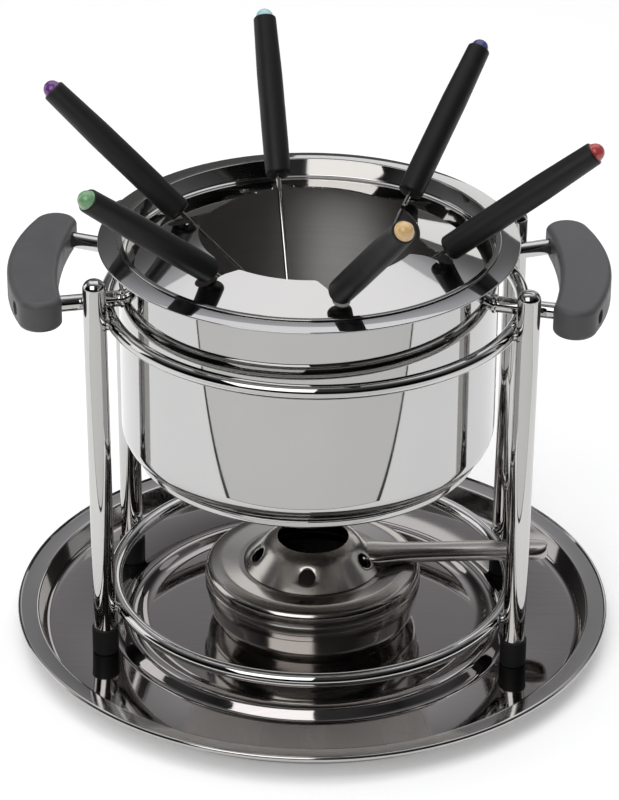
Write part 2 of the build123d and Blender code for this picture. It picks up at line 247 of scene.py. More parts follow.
def fillet_points(before, corner, after, radius, steps):
    """The arc that rounds one corner of a polyline, as large as its two sides leave room for."""
    back = before - corner
    ahead = after - corner
    half = back.angle(ahead) / 2
    reach = min(radius / math.tan(half), 0.49 * back.length, 0.49 * ahead.length)
    start = corner + back.normalized() * reach
    stop = corner + ahead.normalized() * reach
    away = (back.normalized() + ahead.normalized()).normalized()
    middle = corner + away * (reach * math.tan(half) / math.sin(half))
    a = start - middle
    b = stop - middle
    turn = math.atan2(a.x * b.y - a.y * b.x, a.dot(b))
    return [tuple(middle + Matrix.Rotation(turn * k / steps, 2) @ a) for k in range(steps + 1)]


def rounded(points, steps):
    """A polyline with some corners rounded: each point is (x, y) or (x, y, radius)."""
    out = []
    for i, point in enumerate(points):
        here = Vector(point[:2])
        if len(point) > 2:
            before = Vector(points[i - 1][:2])
            after = Vector(points[i + 1][:2])
            out += fillet_points(before, here, after, point[2], steps)
        else:
            out.append(tuple(here))
    return out


def place_along(foot, head, across=None):
    """A matrix whose origin is foot and whose local Z runs towards head, in millimetres."""
    up = (Vector(head) - Vector(foot)).normalized()
    side = Vector(across) if across else up.orthogonal()
    side = (side - up * side.dot(up)).normalized()
    turn = Matrix((side, up.cross(side), up)).transposed().to_4x4()
    return Matrix.Translation(Vector(foot) * MM) @ turn


def smooth(mesh, angle):
    """Smooth shading with sharp edges only where faces turn by more than the angle."""
    mesh.polygons.foreach_set("use_smooth", [True] * len(mesh.polygons))
    mesh.set_sharp_from_angle(angle=math.radians(angle))
    mesh.update()


def finish_mesh(name, build, angle, transform=None):
    """Turn a bmesh into a smooth-shaded mesh, moved by a transform."""
    mesh = bpy.data.meshes.new(name)
    build.to_mesh(mesh)
    build.free()
    if transform:
        mesh.transform(transform)
    smooth(mesh, angle)
    return mesh


def lathe(name, profile, segments, angle=50.0, is_loop=False, transform=None, tones=None):
    """Turn a profile of (radius, height) points about Z. tones gives a material index for each span."""
    build = bmesh.new()
    rings = []
    for radius, height in profile:
        spots = circle(segments) if radius > 1e-6 else [(0.0, 0.0)]
        rings.append([build.verts.new((radius * MM * c, radius * MM * s, height * MM)) for c, s in spots])
    pairs = list(zip(rings, rings[1:]))
    if is_loop:
        pairs.append((rings[-1], rings[0]))
    for span, (a, b) in enumerate(pairs):
        for k in range(segments):
            nxt = (k + 1) % segments
            corners = [a[k % len(a)], a[nxt % len(a)], b[nxt % len(b)], b[k % len(b)]]
            corners = list(dict.fromkeys(corners))
            if len(corners) < 3:
                continue
            face = build.faces.new(corners)
            if tones:
                face.material_index = tones[span]
    bmesh.ops.recalc_face_normals(build, faces=build.faces)
    return finish_mesh(name, build, angle, transform)


def bridge(build, rings):
    """Join each ring of vertices to the next with a band of quads."""
    for a, b in zip(rings, rings[1:]):
        for i in range(len(a)):
            j = (i + 1) % len(a)
            build.faces.new((a[i], b[i], b[j], a[j]))


def link(name, data, materials):
    """Put a mesh or curve into the scene as an object with its materials."""
    made = bpy.data.objects.new(name, data)
    bpy.context.scene.collection.objects.link(made)
    for material in materials:
        data.materials.append(material)
    return made


def add_piece(name, data, materials, body, slot, *replaced):
    """Add a piece that rides on a body and takes the place of some CAD nodes."""
    piece = link(name, data, materials)
    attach(piece, body)
    if replaced:
        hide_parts(*replaced)
    return piece


def thicken(piece, sheet, inner_slot=0):
    """Give a sheet its thickness inwards and soft edges. inner_slot counts on to the inside's material."""
    solid = piece.modifiers.new("sheet", "SOLIDIFY")
    solid.thickness = sheet * MM
    solid.offset = -1.0
    solid.material_offset = inner_slot
    bevel = piece.modifiers.new("edge", "BEVEL")
    bevel.width = 0.16 * MM
    bevel.segments = 2
    bevel.limit_method = "ANGLE"
    bevel.angle_limit = math.radians(50.0)
    bevel.harden_normals = True


# ---- Materials -------------------------------------------------------------------------------


def add_node(tree, kind, inputs=None, **settings):
    """Add a shader node, set its properties, and link or set its inputs."""
    made = tree.nodes.new("ShaderNode" + kind)
    for key, value in settings.items():
        setattr(made, key, value)
    for key, value in (inputs or {}).items():
        if isinstance(value, bpy.types.NodeSocket):
            tree.links.new(value, made.inputs[key])
        else:
            made.inputs[key].default_value = value
    return made


def tint(colour, share=1.0):
    """A colour scaled by a share, with its alpha."""
    return (*(value * share for value in colour), 1.0)


class Shader:
    """A small builder for one procedural material."""

    def __init__(self, name, **values):
        self.material = bpy.data.materials.new(name)
        self.material.use_nodes = True
        self.tree = self.material.node_tree
        self.surface = self.tree.nodes["Principled BSDF"]
        for key, value in values.items():
            self.surface.inputs[key.replace("_", " ")].default_value = value
        self.coordinates = self.tree.nodes.new("ShaderNodeTexCoord").outputs["Object"]

    def scaled(self, x, y, z):
        """Object coordinates stretched by a factor on each axis."""
        inputs = {"Vector": self.coordinates, "Scale": (x, y, z)}
        return add_node(self.tree, "Mapping", inputs).outputs["Vector"]

    def noise(self, vector, scale, detail=4.0, roughness=0.5):
        """A noise value from 0 to 1."""
        inputs = {"Vector": vector, "Scale": scale, "Detail": detail, "Roughness": roughness}
        return add_node(self.tree, "TexNoise", inputs).outputs["Fac"]

    def ramp(self, value, low, high, out_low, out_high):
        """Map a value's range onto another."""
        inputs = {"Value": value, "From Min": low, "From Max": high, "To Min": out_low, "To Max": out_high}
        return add_node(self.tree, "MapRange", inputs).outputs["Result"]

    def colour_between(self, factor, first, second):
        """Blend two colours into the surface's base colour."""
        made = add_node(self.tree, "Mix", data_type="RGBA")
        self.tree.links.new(factor, made.inputs[0])
        made.inputs[6].default_value = first
        made.inputs[7].default_value = second
        self.drive("Base Color", made.outputs[2])

    def bump(self, height, strength, distance):
        """Drive the surface normal from a height."""
        made = add_node(self.tree, "Bump", {"Height": height, "Strength": strength, "Distance": distance})
        self.drive("Normal", made.outputs["Normal"])

    def drive(self, socket, value):
        """Link a computed value to a socket of the surface shader."""
        self.tree.links.new(value, self.surface.inputs[socket])


def polished(name, colour, low, high):
    """Mirror-bright steel with faint clouds of roughness and colour."""
    shader = Shader(name, Metallic=1.0)
    cloud = shader.noise(shader.coordinates, 38.0, 5.0)
    shader.drive("Roughness", shader.ramp(cloud, 0.3, 0.7, low, high))
    shader.colour_between(shader.noise(shader.coordinates, 14.0, 3.0), tint(colour, 0.93), tint(colour))
    return shader.material


def brushed(name, colour, low, high, stretch, strength):
    """Satin steel with fine grooves: noise squeezed along one way."""
    shader = Shader(name, Metallic=1.0)
    lines = shader.noise(shader.scaled(*stretch), 1.0, 6.0, 0.65)
    shader.drive("Roughness", shader.ramp(lines, 0.25, 0.75, low, high))
    shader.colour_between(lines, tint(colour, 0.78), tint(colour))
    shader.bump(lines, strength, 0.0001)
    return shader.material


def spin_grooves(material, amount):
    """Grooves run round the Z axis, so glints spread across them."""
    tree = material.node_tree
    surface = tree.nodes["Principled BSDF"]
    around = add_node(tree, "Tangent", direction_type="RADIAL", axis="Z")
    tree.links.new(around.outputs[0], surface.inputs["Tangent"])
    surface.inputs["Anisotropic"].default_value = amount
    surface.inputs["Anisotropic Rotation"].default_value = 0.25


def moulded(name, colour, low, high, grain, strength, pale=1.35):
    """Moulded plastic, rubber or packed fibre: fine grain and uneven sheen."""
    shader = Shader(name, Specular_IOR_Level=0.36)
    fine = shader.noise(shader.coordinates, grain, 3.0)
    broad = shader.noise(shader.coordinates, grain / 22, 4.0)
    shader.drive("Roughness", shader.ramp(broad, 0.3, 0.7, low, high))
    shader.colour_between(broad, tint(colour), tint(colour, pale))
    shader.bump(fine, strength, 0.0002)
    return shader.material


def marbled(name, dark, light):
    """A fork cap's lacquered plastic, faintly marbled."""
    shader = Shader(name, Roughness=0.22, Coat_Weight=0.6, Coat_Roughness=0.08)
    swirl = shader.noise(shader.coordinates, 260.0, 5.0, 0.55)
    shader.colour_between(shader.ramp(swirl, 0.35, 0.65, 0.0, 1.0), tint(dark), tint(light))
    return shader.material


def matt(name, roughness, glow, grain, dark, light):
    """A plain matt surface of the stage, with an even glow of its own."""
    white = (1.0, 1.0, 1.0, 1.0)
    shader = Shader(name, Roughness=roughness, Emission_Color=white, Emission_Strength=glow)
    shader.colour_between(shader.noise(shader.coordinates, grain, 2.0), tint(dark), tint(light))
    return shader.material


CHROME = polished("chrome", (0.57, 0.565, 0.555), 0.02, 0.045)
POT_STEEL = polished("pot_steel", (0.535, 0.53, 0.525), 0.025, 0.05)
GUARD_STEEL = polished("guard_steel", (0.595, 0.585, 0.57), 0.03, 0.06)
BASE_STEEL = polished("pot_base_steel", (0.40, 0.385, 0.37), 0.22, 0.34)
# Near-black steel: painted shade for the sleeve, the cap's inside and the shell under the cap, which lie in
# shade.
SHADED_INSIDE_STEEL = polished("burner_inside_painted_shade", (0.022, 0.02, 0.019), 0.30, 0.42)
BURNER_STEEL = polished("burner_steel", (0.47, 0.45, 0.425), 0.11, 0.18)
REGULATOR_STEEL = polished("regulator_steel", (0.45, 0.43, 0.405), 0.17, 0.25)
TRAY_STEEL = brushed("tray_steel", (0.43, 0.408, 0.40), 0.035, 0.08, (14.0, 900.0, 14.0), 0.012)
TRAY_RIM_STEEL = polished("tray_rim_steel", (0.49, 0.478, 0.468), 0.06, 0.12)
INSIDE_STEEL = brushed("pot_inside_steel", (0.72, 0.70, 0.685), 0.42, 0.54, (4.0, 4.0, 620.0), 0.05)
spin_grooves(INSIDE_STEEL, 0.88)
FORK_STEEL = polished("fork_steel", (0.66, 0.66, 0.65), 0.06, 0.12)
# Near-black steel: painted shade on the gauze, which lies in shade inside the burner.
SHADED_GAUZE_STEEL = polished("gauze_steel", (0.07, 0.067, 0.064), 0.3, 0.45)
GRIP_BLACK = moulded("grip_phenolic", (0.062, 0.0605, 0.063), 0.40, 0.50, 2600.0, 0.22)
FORK_BLACK = moulded("fork_phenolic", (0.0062, 0.0060, 0.0065), 0.42, 0.52, 2600.0, 0.15)
RUBBER = moulded("foot_rubber", (0.012, 0.012, 0.012), 0.55, 0.70, 1800.0, 0.12)
# The fibre is painted near black: painted shade for the inside of the burner, which lies in shade.
SHADED_FIBRE = moulded("fibre_wad", (0.085, 0.08, 0.072), 0.85, 0.95, 1400.0, 0.6, 1.2)
CAP_COLOURS = {
    "teal": ((0.28, 0.50, 0.53), (0.38, 0.62, 0.65)),
    "purple": ((0.10, 0.022, 0.155), (0.155, 0.045, 0.225)),
    "green": ((0.115, 0.25, 0.115), (0.175, 0.335, 0.175)),
    "tan": ((0.52, 0.33, 0.135), (0.66, 0.45, 0.21)),
    "red": ((0.32, 0.034, 0.034), (0.43, 0.065, 0.06)),
    "blue": ((0.024, 0.024, 0.125), (0.042, 0.042, 0.19)),
}


# ---- Tray ------------------------------------------------------------------------------------


def build_tray():
    """A pressed dish: rolled edge, sloping wall, channel, ring bead and raised middle."""
    roll_r = span_of("tray")[1].x - TRAY_ROLL
    face = rounded(
        [
            (0.0, TRAY_MIDDLE_Z),
            (BEAD_R - BEAD_HALF, TRAY_MIDDLE_Z, 9.0),
            (BEAD_CREST[0], BEAD_Z, 4.5),
            (BEAD_CREST[1], BEAD_Z, 4.5),
            (BEAD_R + BEAD_HALF, TRAY_CHANNEL_Z, 5.0),
            (TRAY_CHANNEL_R, TRAY_CHANNEL_Z, 3.6),
            (TRAY_RIM_R, TRAY_RIM_Z, 1.6),
            (roll_r - 0.4, TRAY_RIM_Z + 0.2),
        ],
        8,
    )
    curl = arc((roll_r, TRAY_RIM_Z - 0.2), TRAY_ROLL, 90.0, -150.0, 16)
    under = [(r, z - TRAY_SHEET) for r, z in reversed(face[:-1])]
    profile = face + curl + under
    tones = [int(r > TRAY_CHANNEL_R + 0.6) for r, z in profile]
    mesh = lathe("tray_dish", profile, 256, tones=tones)
    add_piece("tray_dish", mesh, [TRAY_STEEL, TRAY_RIM_STEEL], "tray", "tray_steel", "tray")


# ---- Stand -----------------------------------------------------------------------------------


def post_ends(place):
    """Foot and head points of a post's axis, from its box: it leans outwards in its own radial plane."""
    low, high = span_of(f"post_{place}")
    out_x = 1 if place.endswith("right") else -1
    out_y = 1 if place.startswith("back") else -1
    foot_x, head_x = (low.x, high.x) if out_x > 0 else (high.x, low.x)
    foot_y, head_y = (low.y, high.y) if out_y > 0 else (high.y, low.y)
    foot = Vector((foot_x + out_x * POST_R, foot_y + out_y * POST_R, low.z))
    head = Vector((head_x - out_x * POST_R, head_y - out_y * POST_R, high.z))
    return foot, head


def build_post(place):
    """A chromed bar with a domed top."""
    foot, head = post_ends(place)
    length = (head - foot).length
    inset = POST_R - POST_DOME_R
    dome = arc((inset, length - POST_DOME_R), POST_DOME_R, 0.0, 90.0, 10)
    profile = [(0.0, 0.0), (POST_R, 0.0)] + dome + [(0.0, length)]
    mesh = lathe(f"bar_{place}", profile, 64, 35.0, transform=place_along(foot, head))
    add_piece(f"bar_{place}", mesh, [CHROME], "stand", "stand_chrome", f"post_{place}")


def build_foot(place):
    """A rubber cup pushed on to the end of a post."""
    low, high = span_of(f"foot_{place}")
    tall = high.z - low.z
    middle = (low + high) / 2
    seat = Matrix.Translation(Vector((middle.x, middle.y, low.z)) * MM)
    lip = [(FOOT_MOUTH_R, tall), (FOOT_MOUTH_R, tall - 1.5)]
    profile = rounded([(0.0, 0.0), (FOOT_R, 0.0, 0.7), (FOOT_R, tall, 0.9), *lip], 4)
    mesh = lathe(f"foot_cup_{place}", profile, 48, 35.0, transform=seat)
    add_piece(f"foot_cup_{place}", mesh, [RUBBER], "stand", "foot_rubber", f"foot_{place}")


def build_ring(which):
    """A wire ring of the stand."""
    radius, height = RINGS[which]
    mesh = lathe(f"{which}_wire", arc((radius, height), WIRE_R, 0.0, 345.0, 23), 256, 35.0, True)
    add_piece(f"{which}_wire", mesh, [CHROME], "stand", "stand_chrome", f"{which}_ring")


def build_weld(which, place):
    """The small run of weld metal where a ring meets a post."""
    radius, height = RINGS[which]
    foot, head = post_ends(place)
    axis = foot + (head - foot) * (height - foot.z) / (head.z - foot.z)
    degrees = math.degrees(math.atan2(axis.y, axis.x))
    build = bmesh.new()
    bmesh.ops.create_uvsphere(build, u_segments=20, v_segments=14, radius=1.0)
    for vertex in build.verts:
        wave = 1.0 + 0.07 * math.sin(5.0 * vertex.co.x + 3.0 * vertex.co.z + degrees)
        vertex.co = Vector([value * half for value, half in zip(vertex.co, WELD_HALF)]) * wave * MM
    spot = polar(radius + WELD_REACH, degrees, height)
    place_there = Matrix.Translation(spot * MM) @ Matrix.Rotation(math.radians(degrees), 4, "Z")
    name = f"weld_{which}_{place}"
    add_piece(name, finish_mesh(name, build, 80.0, place_there), [CHROME], "stand", "stand_chrome")


def build_stand():
    """Posts, feet, rings and welds."""
    for place in PLACES:
        build_post(place)
        build_foot(place)
    for which in RINGS:
        build_ring(which)
        for place in PLACES:
            build_weld(which, place)


# ---- Pot and handle bars ---------------------------------------------------------------------


def pot_place():
    """The pot stands a little off the tray's centre and is turned a little."""
    return Matrix.Translation((POT_X * MM, 0.0, 0.0)) @ Matrix.Rotation(math.radians(POT_TURN), 4, "Z")


def build_pot():
    """A drawn pot: mirror outside, spun finish inside, and a flared rim with a rounded edge."""
    edge_r = RIM_R - RIM_EDGE_R
    inner_r = POT_R - POT_SHEET
    inner_z = POT_FLOOR_Z + POT_SHEET
    outside = rounded(
        [
            (0.0, POT_FLOOR_Z),
            (POT_R, POT_FLOOR_Z, POT_CORNER_R),
            (POT_R, RIM_Z - 0.4, 2.2),
            (edge_r, RIM_Z - 1.0),
        ],
        10,
    )
    edge = arc((edge_r, RIM_Z - RIM_EDGE_R), RIM_EDGE_R, -90.0, 90.0, 6)[1:-1]
    inside = rounded(
        [
            (edge_r, RIM_Z),
            (inner_r, RIM_Z + 1.0, 1.2),
            (inner_r, inner_z, POT_CORNER_R - POT_SHEET),
            (0.0, inner_z),
        ],
        10,
    )
    profile = outside + edge + inside
    mirror_spans = len(outside) + len(edge) + 8
    tones = [int(i >= mirror_spans) for i in range(len(profile))]
    mesh = lathe("pot_wall", profile, 256, transform=pot_place(), tones=tones)
    add_piece("pot_wall", mesh, [POT_STEEL, INSIDE_STEEL], "pot", "pot_steel", "pot_body")


def build_base_plate():
    """The thick disc under the pot: satin below, mirror round its edge."""
    outline = [(0.0, BASE_Z), (BASE_R, BASE_Z, 1.6), (BASE_R, POT_FLOOR_Z, 1.0), (BASE_R - 1.6, POT_FLOOR_Z)]
    profile = rounded(outline, 8)
    tones = [int(i > 0) for i in range(len(profile))]
    mesh = lathe("base_plate", profile, 256, transform=pot_place(), tones=tones)
    add_piece("base_plate", mesh, [BASE_STEEL, POT_STEEL], "pot", "pot_steel", "pot_base_disc")


def build_rod(place, degrees):
    """A round bar with a fillet of weld where it leaves the pot's wall."""
    length = ROD_END_R - ROD_START_R
    foot = pot_place() @ (polar(ROD_START_R, degrees, ROD_Z) * MM) / MM
    head = pot_place() @ (polar(ROD_END_R, degrees, ROD_Z) * MM) / MM
    weld = [(0.0, 0.0), (ROD_WELD_R, 0.4), (ROD_WELD_R, 1.4), (ROD_R + 0.2, 1.8), (ROD_R, 2.2)]
    profile = weld + rounded([(ROD_R, 4.0), (ROD_R, length, 0.5), (0.0, length)], 4)
    across = polar(1.0, degrees - 90.0)
    mesh = lathe(f"bar_handle_{place}", profile, 48, transform=place_along(foot, head, across))
    add_piece(f"bar_handle_{place}", mesh, [CHROME], "pot", "rod_steel", f"handle_rod_{place}")


# ---- Splash guard ----------------------------------------------------------------------------


def guard_boundary():
    """Half of one notch's edge and half a lobe's, as (angle, radius) from the notch's centre line."""
    end_r = NOTCH_END_R - NOTCH_HALF
    end = arc((end_r, 0.0), NOTCH_HALF, 0.0, 90.0, 14)
    lobe = tuple(polar(GUARD_EDGE_R, 12.5)[:2])
    funnel = rounded([(end_r, NOTCH_HALF), (60.0, NOTCH_HALF, 9.0), (52.85, 8.55, 3.0), lobe], 10)
    edge = [(math.degrees(math.atan2(y, x)), math.hypot(x, y)) for x, y in end + funnel[1:]]
    return edge + [(degrees, GUARD_EDGE_R) for degrees in (14.5, 17.0, 20.0, 23.0, 26.0, 30.0)]


def guard_section(inner_r):
    """One radial section of the guard's sheet as a closed loop, from its inner edge to its lip and back."""
    steps = 12
    radii = [inner_r + (GUARD_SEAT_R - inner_r) * i / steps for i in range(steps)]
    cone = [(r, GUARD_SEAT_Z + (GUARD_SEAT_R - r) * GUARD_SLOPE) for r in radii]
    top = rounded(
        [
            (GUARD_SEAT_R, GUARD_SEAT_Z),
            (88.9, GUARD_SEAT_Z - 0.55, 1.2),
            (90.2, GUARD_SEAT_Z + 0.35, 0.9),
            (90.2, GUARD_LIP_Z + 0.05, 0.3),
            (GUARD_LIP_R - 0.1, GUARD_LIP_Z),
        ],
        5,
    )
    lip = arc((GUARD_LIP_R, GUARD_LIP_Z - 0.23), 0.22, 90.0, -90.0, 6)
    under = rounded(
        [
            (GUARD_LIP_R, GUARD_LIP_Z - 0.45),
            (91.0, GUARD_LIP_Z - 0.45, 0.3),
            (91.0, GUARD_SEAT_Z - 0.95, 0.9),
            (89.0, GUARD_SEAT_Z - 1.55, 1.4),
            (GUARD_SEAT_R, GUARD_SEAT_Z - 0.83),
        ],
        5,
    )
    cone_under = [(r, z - GUARD_SHEET * 1.05) for r, z in reversed(cone)]
    return cone + top + lip + under + cone_under


def build_guard():
    """The dished ring with six funnel-mouthed notches, as a fan of radial sections."""
    half = guard_boundary()
    sector = [(-a, r) for a, r in reversed(half[1:])] + half[:-1]
    middle = Vector((POT_X, 0, 0))
    build = bmesh.new()
    rings = []
    for k in range(NOTCHES):
        for degrees, inner_r in sector:
            angle = NOTCH_FIRST + 360.0 / NOTCHES * k + degrees
            spots = [polar(r, angle, z) + middle for r, z in guard_section(inner_r)]
            rings.append([build.verts.new(spot * MM) for spot in spots])
    bridge(build, rings + rings[:1])
    bmesh.ops.recalc_face_normals(build, faces=build.faces)
    mesh = finish_mesh("guard_ring", build, 40.0)
    add_piece("guard_ring", mesh, [GUARD_STEEL], "splash_guard", "guard_steel", "splash_guard")


# ---- Forks -----------------------------------------------------------------------------------


def fork_place(colour):
    """A fork's own frame: origin at the foot of its handle, local Z up the fork."""
    angle, radius, lean, heading, roll = FORKS[colour]
    foot = polar(radius, angle, FORK_Z) + Vector((POT_X, 0, 0))
    up = polar(math.sin(math.radians(lean)), heading, math.cos(math.radians(lean)))
    across = polar(1.0, heading + 90.0)
    return place_along(foot, foot + up, across) @ Matrix.Rotation(math.radians(roll), 4, "Z")


def add_tube(build, points, radii, sides=20):
    """A capped tube through (x, z) points, with its own radius at each."""
    rings = []
    for (x, z), radius in zip(points, radii):
        rings.append([build.verts.new((x + radius * c, radius * s, z)) for c, s in circle(sides)])
    for a, b in zip(rings, rings[1:]):
        for i in range(sides):
            j = (i + 1) % sides
            build.faces.new((a[i], a[j], b[j], b[i]))
    build.faces.new(list(reversed(rings[0])))
    build.faces.new(rings[-1])


def fork_steel_mesh(name, place):
    """Wire shank that splits into two pointed tines."""
    build = bmesh.new()
    tip = -FORK_REACH
    split = tip + TINE_LENGTH
    shank = [(0.0, z) for z in (split + 0.6, split + 4.0, 0.0, FORK_TANG)]
    add_tube(build, shank, (0.7, SHANK_R, SHANK_R, SHANK_R))
    for side in (-1, 1):
        bend = [(0.4, split + 3.4), (0.9, split + 2.0), (1.9, split + 0.6), (2.45, split - 1.4)]
        straight = [(TINE_HALF_GAP, z) for z in (split - 3.6, tip + 4.0, tip + 1.4, tip + 0.1)]
        line = [(side * x, z) for x, z in bend + straight]
        add_tube(build, line, (0.6, 0.85, TINE_R, TINE_R, TINE_R, TINE_R, 0.6, 0.12))
    return finish_mesh(name, build, 45.0, place @ Matrix.Scale(MM, 4))


def build_fork(colour):
    """Steel, handle and coloured cap."""
    body = f"fork_{colour}"
    place = fork_place(colour)
    steel = fork_steel_mesh(f"tines_{colour}", place)
    add_piece(f"tines_{colour}", steel, [FORK_STEEL], body, "fork_steel", f"fork_{colour}_prongs")
    grip = rounded(
        [
            (0.0, 0.0),
            (FORK_HANDLE_LOW_R - 0.2, 0.0, 2.4),
            (FORK_HANDLE_LOW_R, 18.0, 60.0),
            (FORK_HANDLE_LOW_R - 0.05, 55.0, 90.0),
            (FORK_HANDLE_TOP_R, FORK_HANDLE, 1.2),
            (0.0, FORK_HANDLE),
        ],
        10,
    )
    handle = lathe(f"handle_{colour}", grip, 64, transform=place)
    add_piece(f"handle_{colour}", handle, [FORK_BLACK], body, "fork_plastic", f"fork_{colour}_handle")
    dome = arc((0.0, FORK_HANDLE + 0.1), FORK_DOME_R, 0.0, 90.0, 16)[1:]
    cap = [(0.0, FORK_HANDLE), (FORK_CAP_R + 0.1, FORK_HANDLE), (FORK_CAP_R, FORK_HANDLE + 0.3)] + dome
    knob = lathe(f"knob_{colour}", cap, 64, transform=place)
    finish = marbled(f"cap_{colour}", *CAP_COLOURS[colour])
    add_piece(f"knob_{colour}", knob, [finish], body, f"cap_{colour}", f"fork_{colour}_cap")


# ---- Burner ----------------------------------------------------------------------------------


def build_cup():
    """The reservoir: a spun bowl whose upright wall tucks in to its foot."""
    outer = rounded(
        [
            (0.0, TRAY_MIDDLE_Z),
            (CUP_FOOT_R, TRAY_MIDDLE_Z, 1.5),
            (CUP_BELLY_R, TRAY_MIDDLE_Z + 7.6, 9.0),
            (CUP_WALL_R, TRAY_MIDDLE_Z + 16.0, 8.0),
            (CUP_WALL_R, CUP_TOP_Z),
        ],
        10,
    )
    inner = [(r - BURNER_SHEET, z + 0.25) for r, z in reversed(outer[1:])]
    profile = outer + inner + [(0.0, TRAY_MIDDLE_Z + BURNER_SHEET)]
    mesh = lathe("cup_bowl", profile, 192)
    add_piece("cup_bowl", mesh, [BURNER_STEEL], "burner", "burner_steel", "burner_cup")


def build_shell():
    """The cover: a skirt with a crisp seam, a rounded shoulder and a low raised ring round the hole."""
    outer = rounded(
        [
            (SHELL_R - 0.6, SHELL_SKIRT_Z),
            (SHELL_R, SHELL_SKIRT_Z + 0.8, 0.6),
            (SHELL_R, SHELL_SEAM_Z - 0.4, 0.4),
            (SHELL_R - 0.6, SHELL_SEAM_Z, 0.2),
            (SHELL_R, SHELL_SEAM_Z + 0.4, 0.3),
            (SHELL_R - 0.3, SHELL_RING_Z - 1.1, 5.0),
            (47.0, SHELL_RING_Z, 14.0),
            (37.6, SHELL_HOLE_Z + 0.1, 8.0),
            (SHELL_HOLE_R, SHELL_HOLE_Z),
        ],
        8,
    )
    inner = [(r - 0.7, z - 0.75) if z > 31.0 else (r - BURNER_SHEET, z) for r, z in reversed(outer)]
    # Painted shade: near the hole, under the cap, the shell takes the near-black steel.
    tones = [int(r < SHADE_PAINT_R) for r, z in outer + inner]
    mesh = lathe("shell_cover", outer + inner, 192, 40.0, True, tones=tones)
    add_piece("shell_cover", mesh, [BURNER_STEEL, SHADED_INSIDE_STEEL], "burner", "burner_steel", "burner_shell")


def build_wad():
    """The fibre wad, with a puckered top."""
    outline = [(0.0, PAD_FLOOR_Z), (PAD_R, PAD_FLOOR_Z, 2.0), (PAD_R, PAD_TOP_Z, 3.0), (0.0, PAD_TOP_Z)]
    profile = rounded(outline, 6)
    dense = []
    for (r0, z0), (r1, z1) in zip(profile, profile[1:]):
        pieces = max(1, int(math.hypot(r1 - r0, z1 - z0) / 3.0))
        dense += [(r0 + (r1 - r0) * i / pieces, z0 + (z1 - z0) * i / pieces) for i in range(pieces)]
    mesh = lathe("fibre_wad", dense + [profile[-1]], 96)
    for vertex in mesh.vertices:
        x, y, z = (value / MM for value in vertex.co)
        wave = math.sin(x * 0.9 + 1.7) * math.sin(y * 1.1) + 0.5 * math.sin((x + y) * 2.3)
        if z > 13.0:
            vertex.co.z -= 0.22 * (1.0 + wave) * MM
    smooth(mesh, 80.0)
    add_piece("fibre_wad", mesh, [SHADED_FIBRE], "burner", "fibre", "fibre_pad")


def build_gauze():
    """Wires woven over and under each other inside a circle."""
    curve = bpy.data.curves.new("gauze_weave", "CURVE")
    curve.dimensions = "3D"
    curve.bevel_depth = GAUZE_WIRE_R * MM
    curve.bevel_resolution = 1
    count = int(GAUZE_R / GAUZE_PITCH)
    for i in range(-count, count + 1):
        for is_warp in (False, True):
            offset = i * GAUZE_PITCH
            reach = math.sqrt(GAUZE_R**2 - offset**2)
            steps = int(reach * 2 / (GAUZE_PITCH / 2))
            line = curve.splines.new("POLY")
            line.points.add(steps)
            for k, point in enumerate(line.points):
                run = -reach + 2 * reach * k / steps
                height = GAUZE_Z + 0.2 * math.cos(math.pi * (run / GAUZE_PITCH + i + is_warp))
                x, y = (offset, run) if is_warp else (run, offset)
                point.co = (x * MM, y * MM, height * MM, 1.0)
    add_piece("gauze_weave", curve, [SHADED_GAUZE_STEEL], "burner", "gauze_steel", "wire_gauze")


# ---- Sleeve and regulator --------------------------------------------------------------------


def cone_profile(inset, foot_z):
    """The cone's section as a function, from 0 at its foot to 1 at its mouth, and its length."""
    slope = (CAP_R - SHOULDER_R) / (SHOULDER_Z - CAP_Z)
    foot = (CAP_R - slope * (foot_z - CAP_Z), foot_z)
    mouth = (CAP_TOP_R + 2.4, CAP_TOP_Z - 0.7) if inset else (CAP_TOP_R, CAP_TOP_Z)
    line = rounded([foot, (SHOULDER_R, SHOULDER_Z, SHOULDER_ROUND), mouth], 12)
    line = [(r - inset * 0.8, z - inset * 0.6 * (z > foot_z)) for r, z in line]
    lengths = [0.0]
    for a, b in zip(line, line[1:]):
        lengths.append(lengths[-1] + math.dist(a, b))

    def at(share):
        """The (radius, height) at a share of the section's length."""
        want = min(max(share, 0.0), 1.0) * lengths[-1]
        i = 0
        while want > lengths[i + 1] and i < len(line) - 2:
            i += 1
        local = (want - lengths[i]) / (lengths[i + 1] - lengths[i])
        return tuple(p + (q - p) * local for p, q in zip(line[i], line[i + 1]))

    return at, lengths[-1]


def sector_border():
    """The edge of one vent's sector of the cone, as (angle, share of the section)."""
    half = 180.0 / VENTS
    steps = 14
    across = [half * (2 * i / steps - 1) for i in range(steps + 1)]
    along = [i / steps for i in range(steps + 1)]
    border = [(a, 0.0) for a in across] + [(half, t) for t in along[1:]]
    border += [(a, 1.0) for a in reversed(across[:-1])] + [(-half, t) for t in reversed(along[1:-1])]
    return border


def vent_ring(share, turn, profile, slant, hole_t, dish):
    """Points round a vent: share 0 is its edge and 1 is its sector's border."""
    hole_r = profile(hole_t)[0]
    spots = []
    for a, t in sector_border():
        du = math.radians(a) * hole_r
        dv = (t - hole_t) * slant
        far = math.hypot(du, dv)
        near_a = math.degrees(du / far * VENT_R / hole_r)
        near_t = hole_t + dv / far * VENT_R / slant
        radius, height = profile(near_t + (t - near_t) * share)
        spots.append(polar(radius - dish, turn + near_a + (a - near_a) * share, height - dish))
    return spots


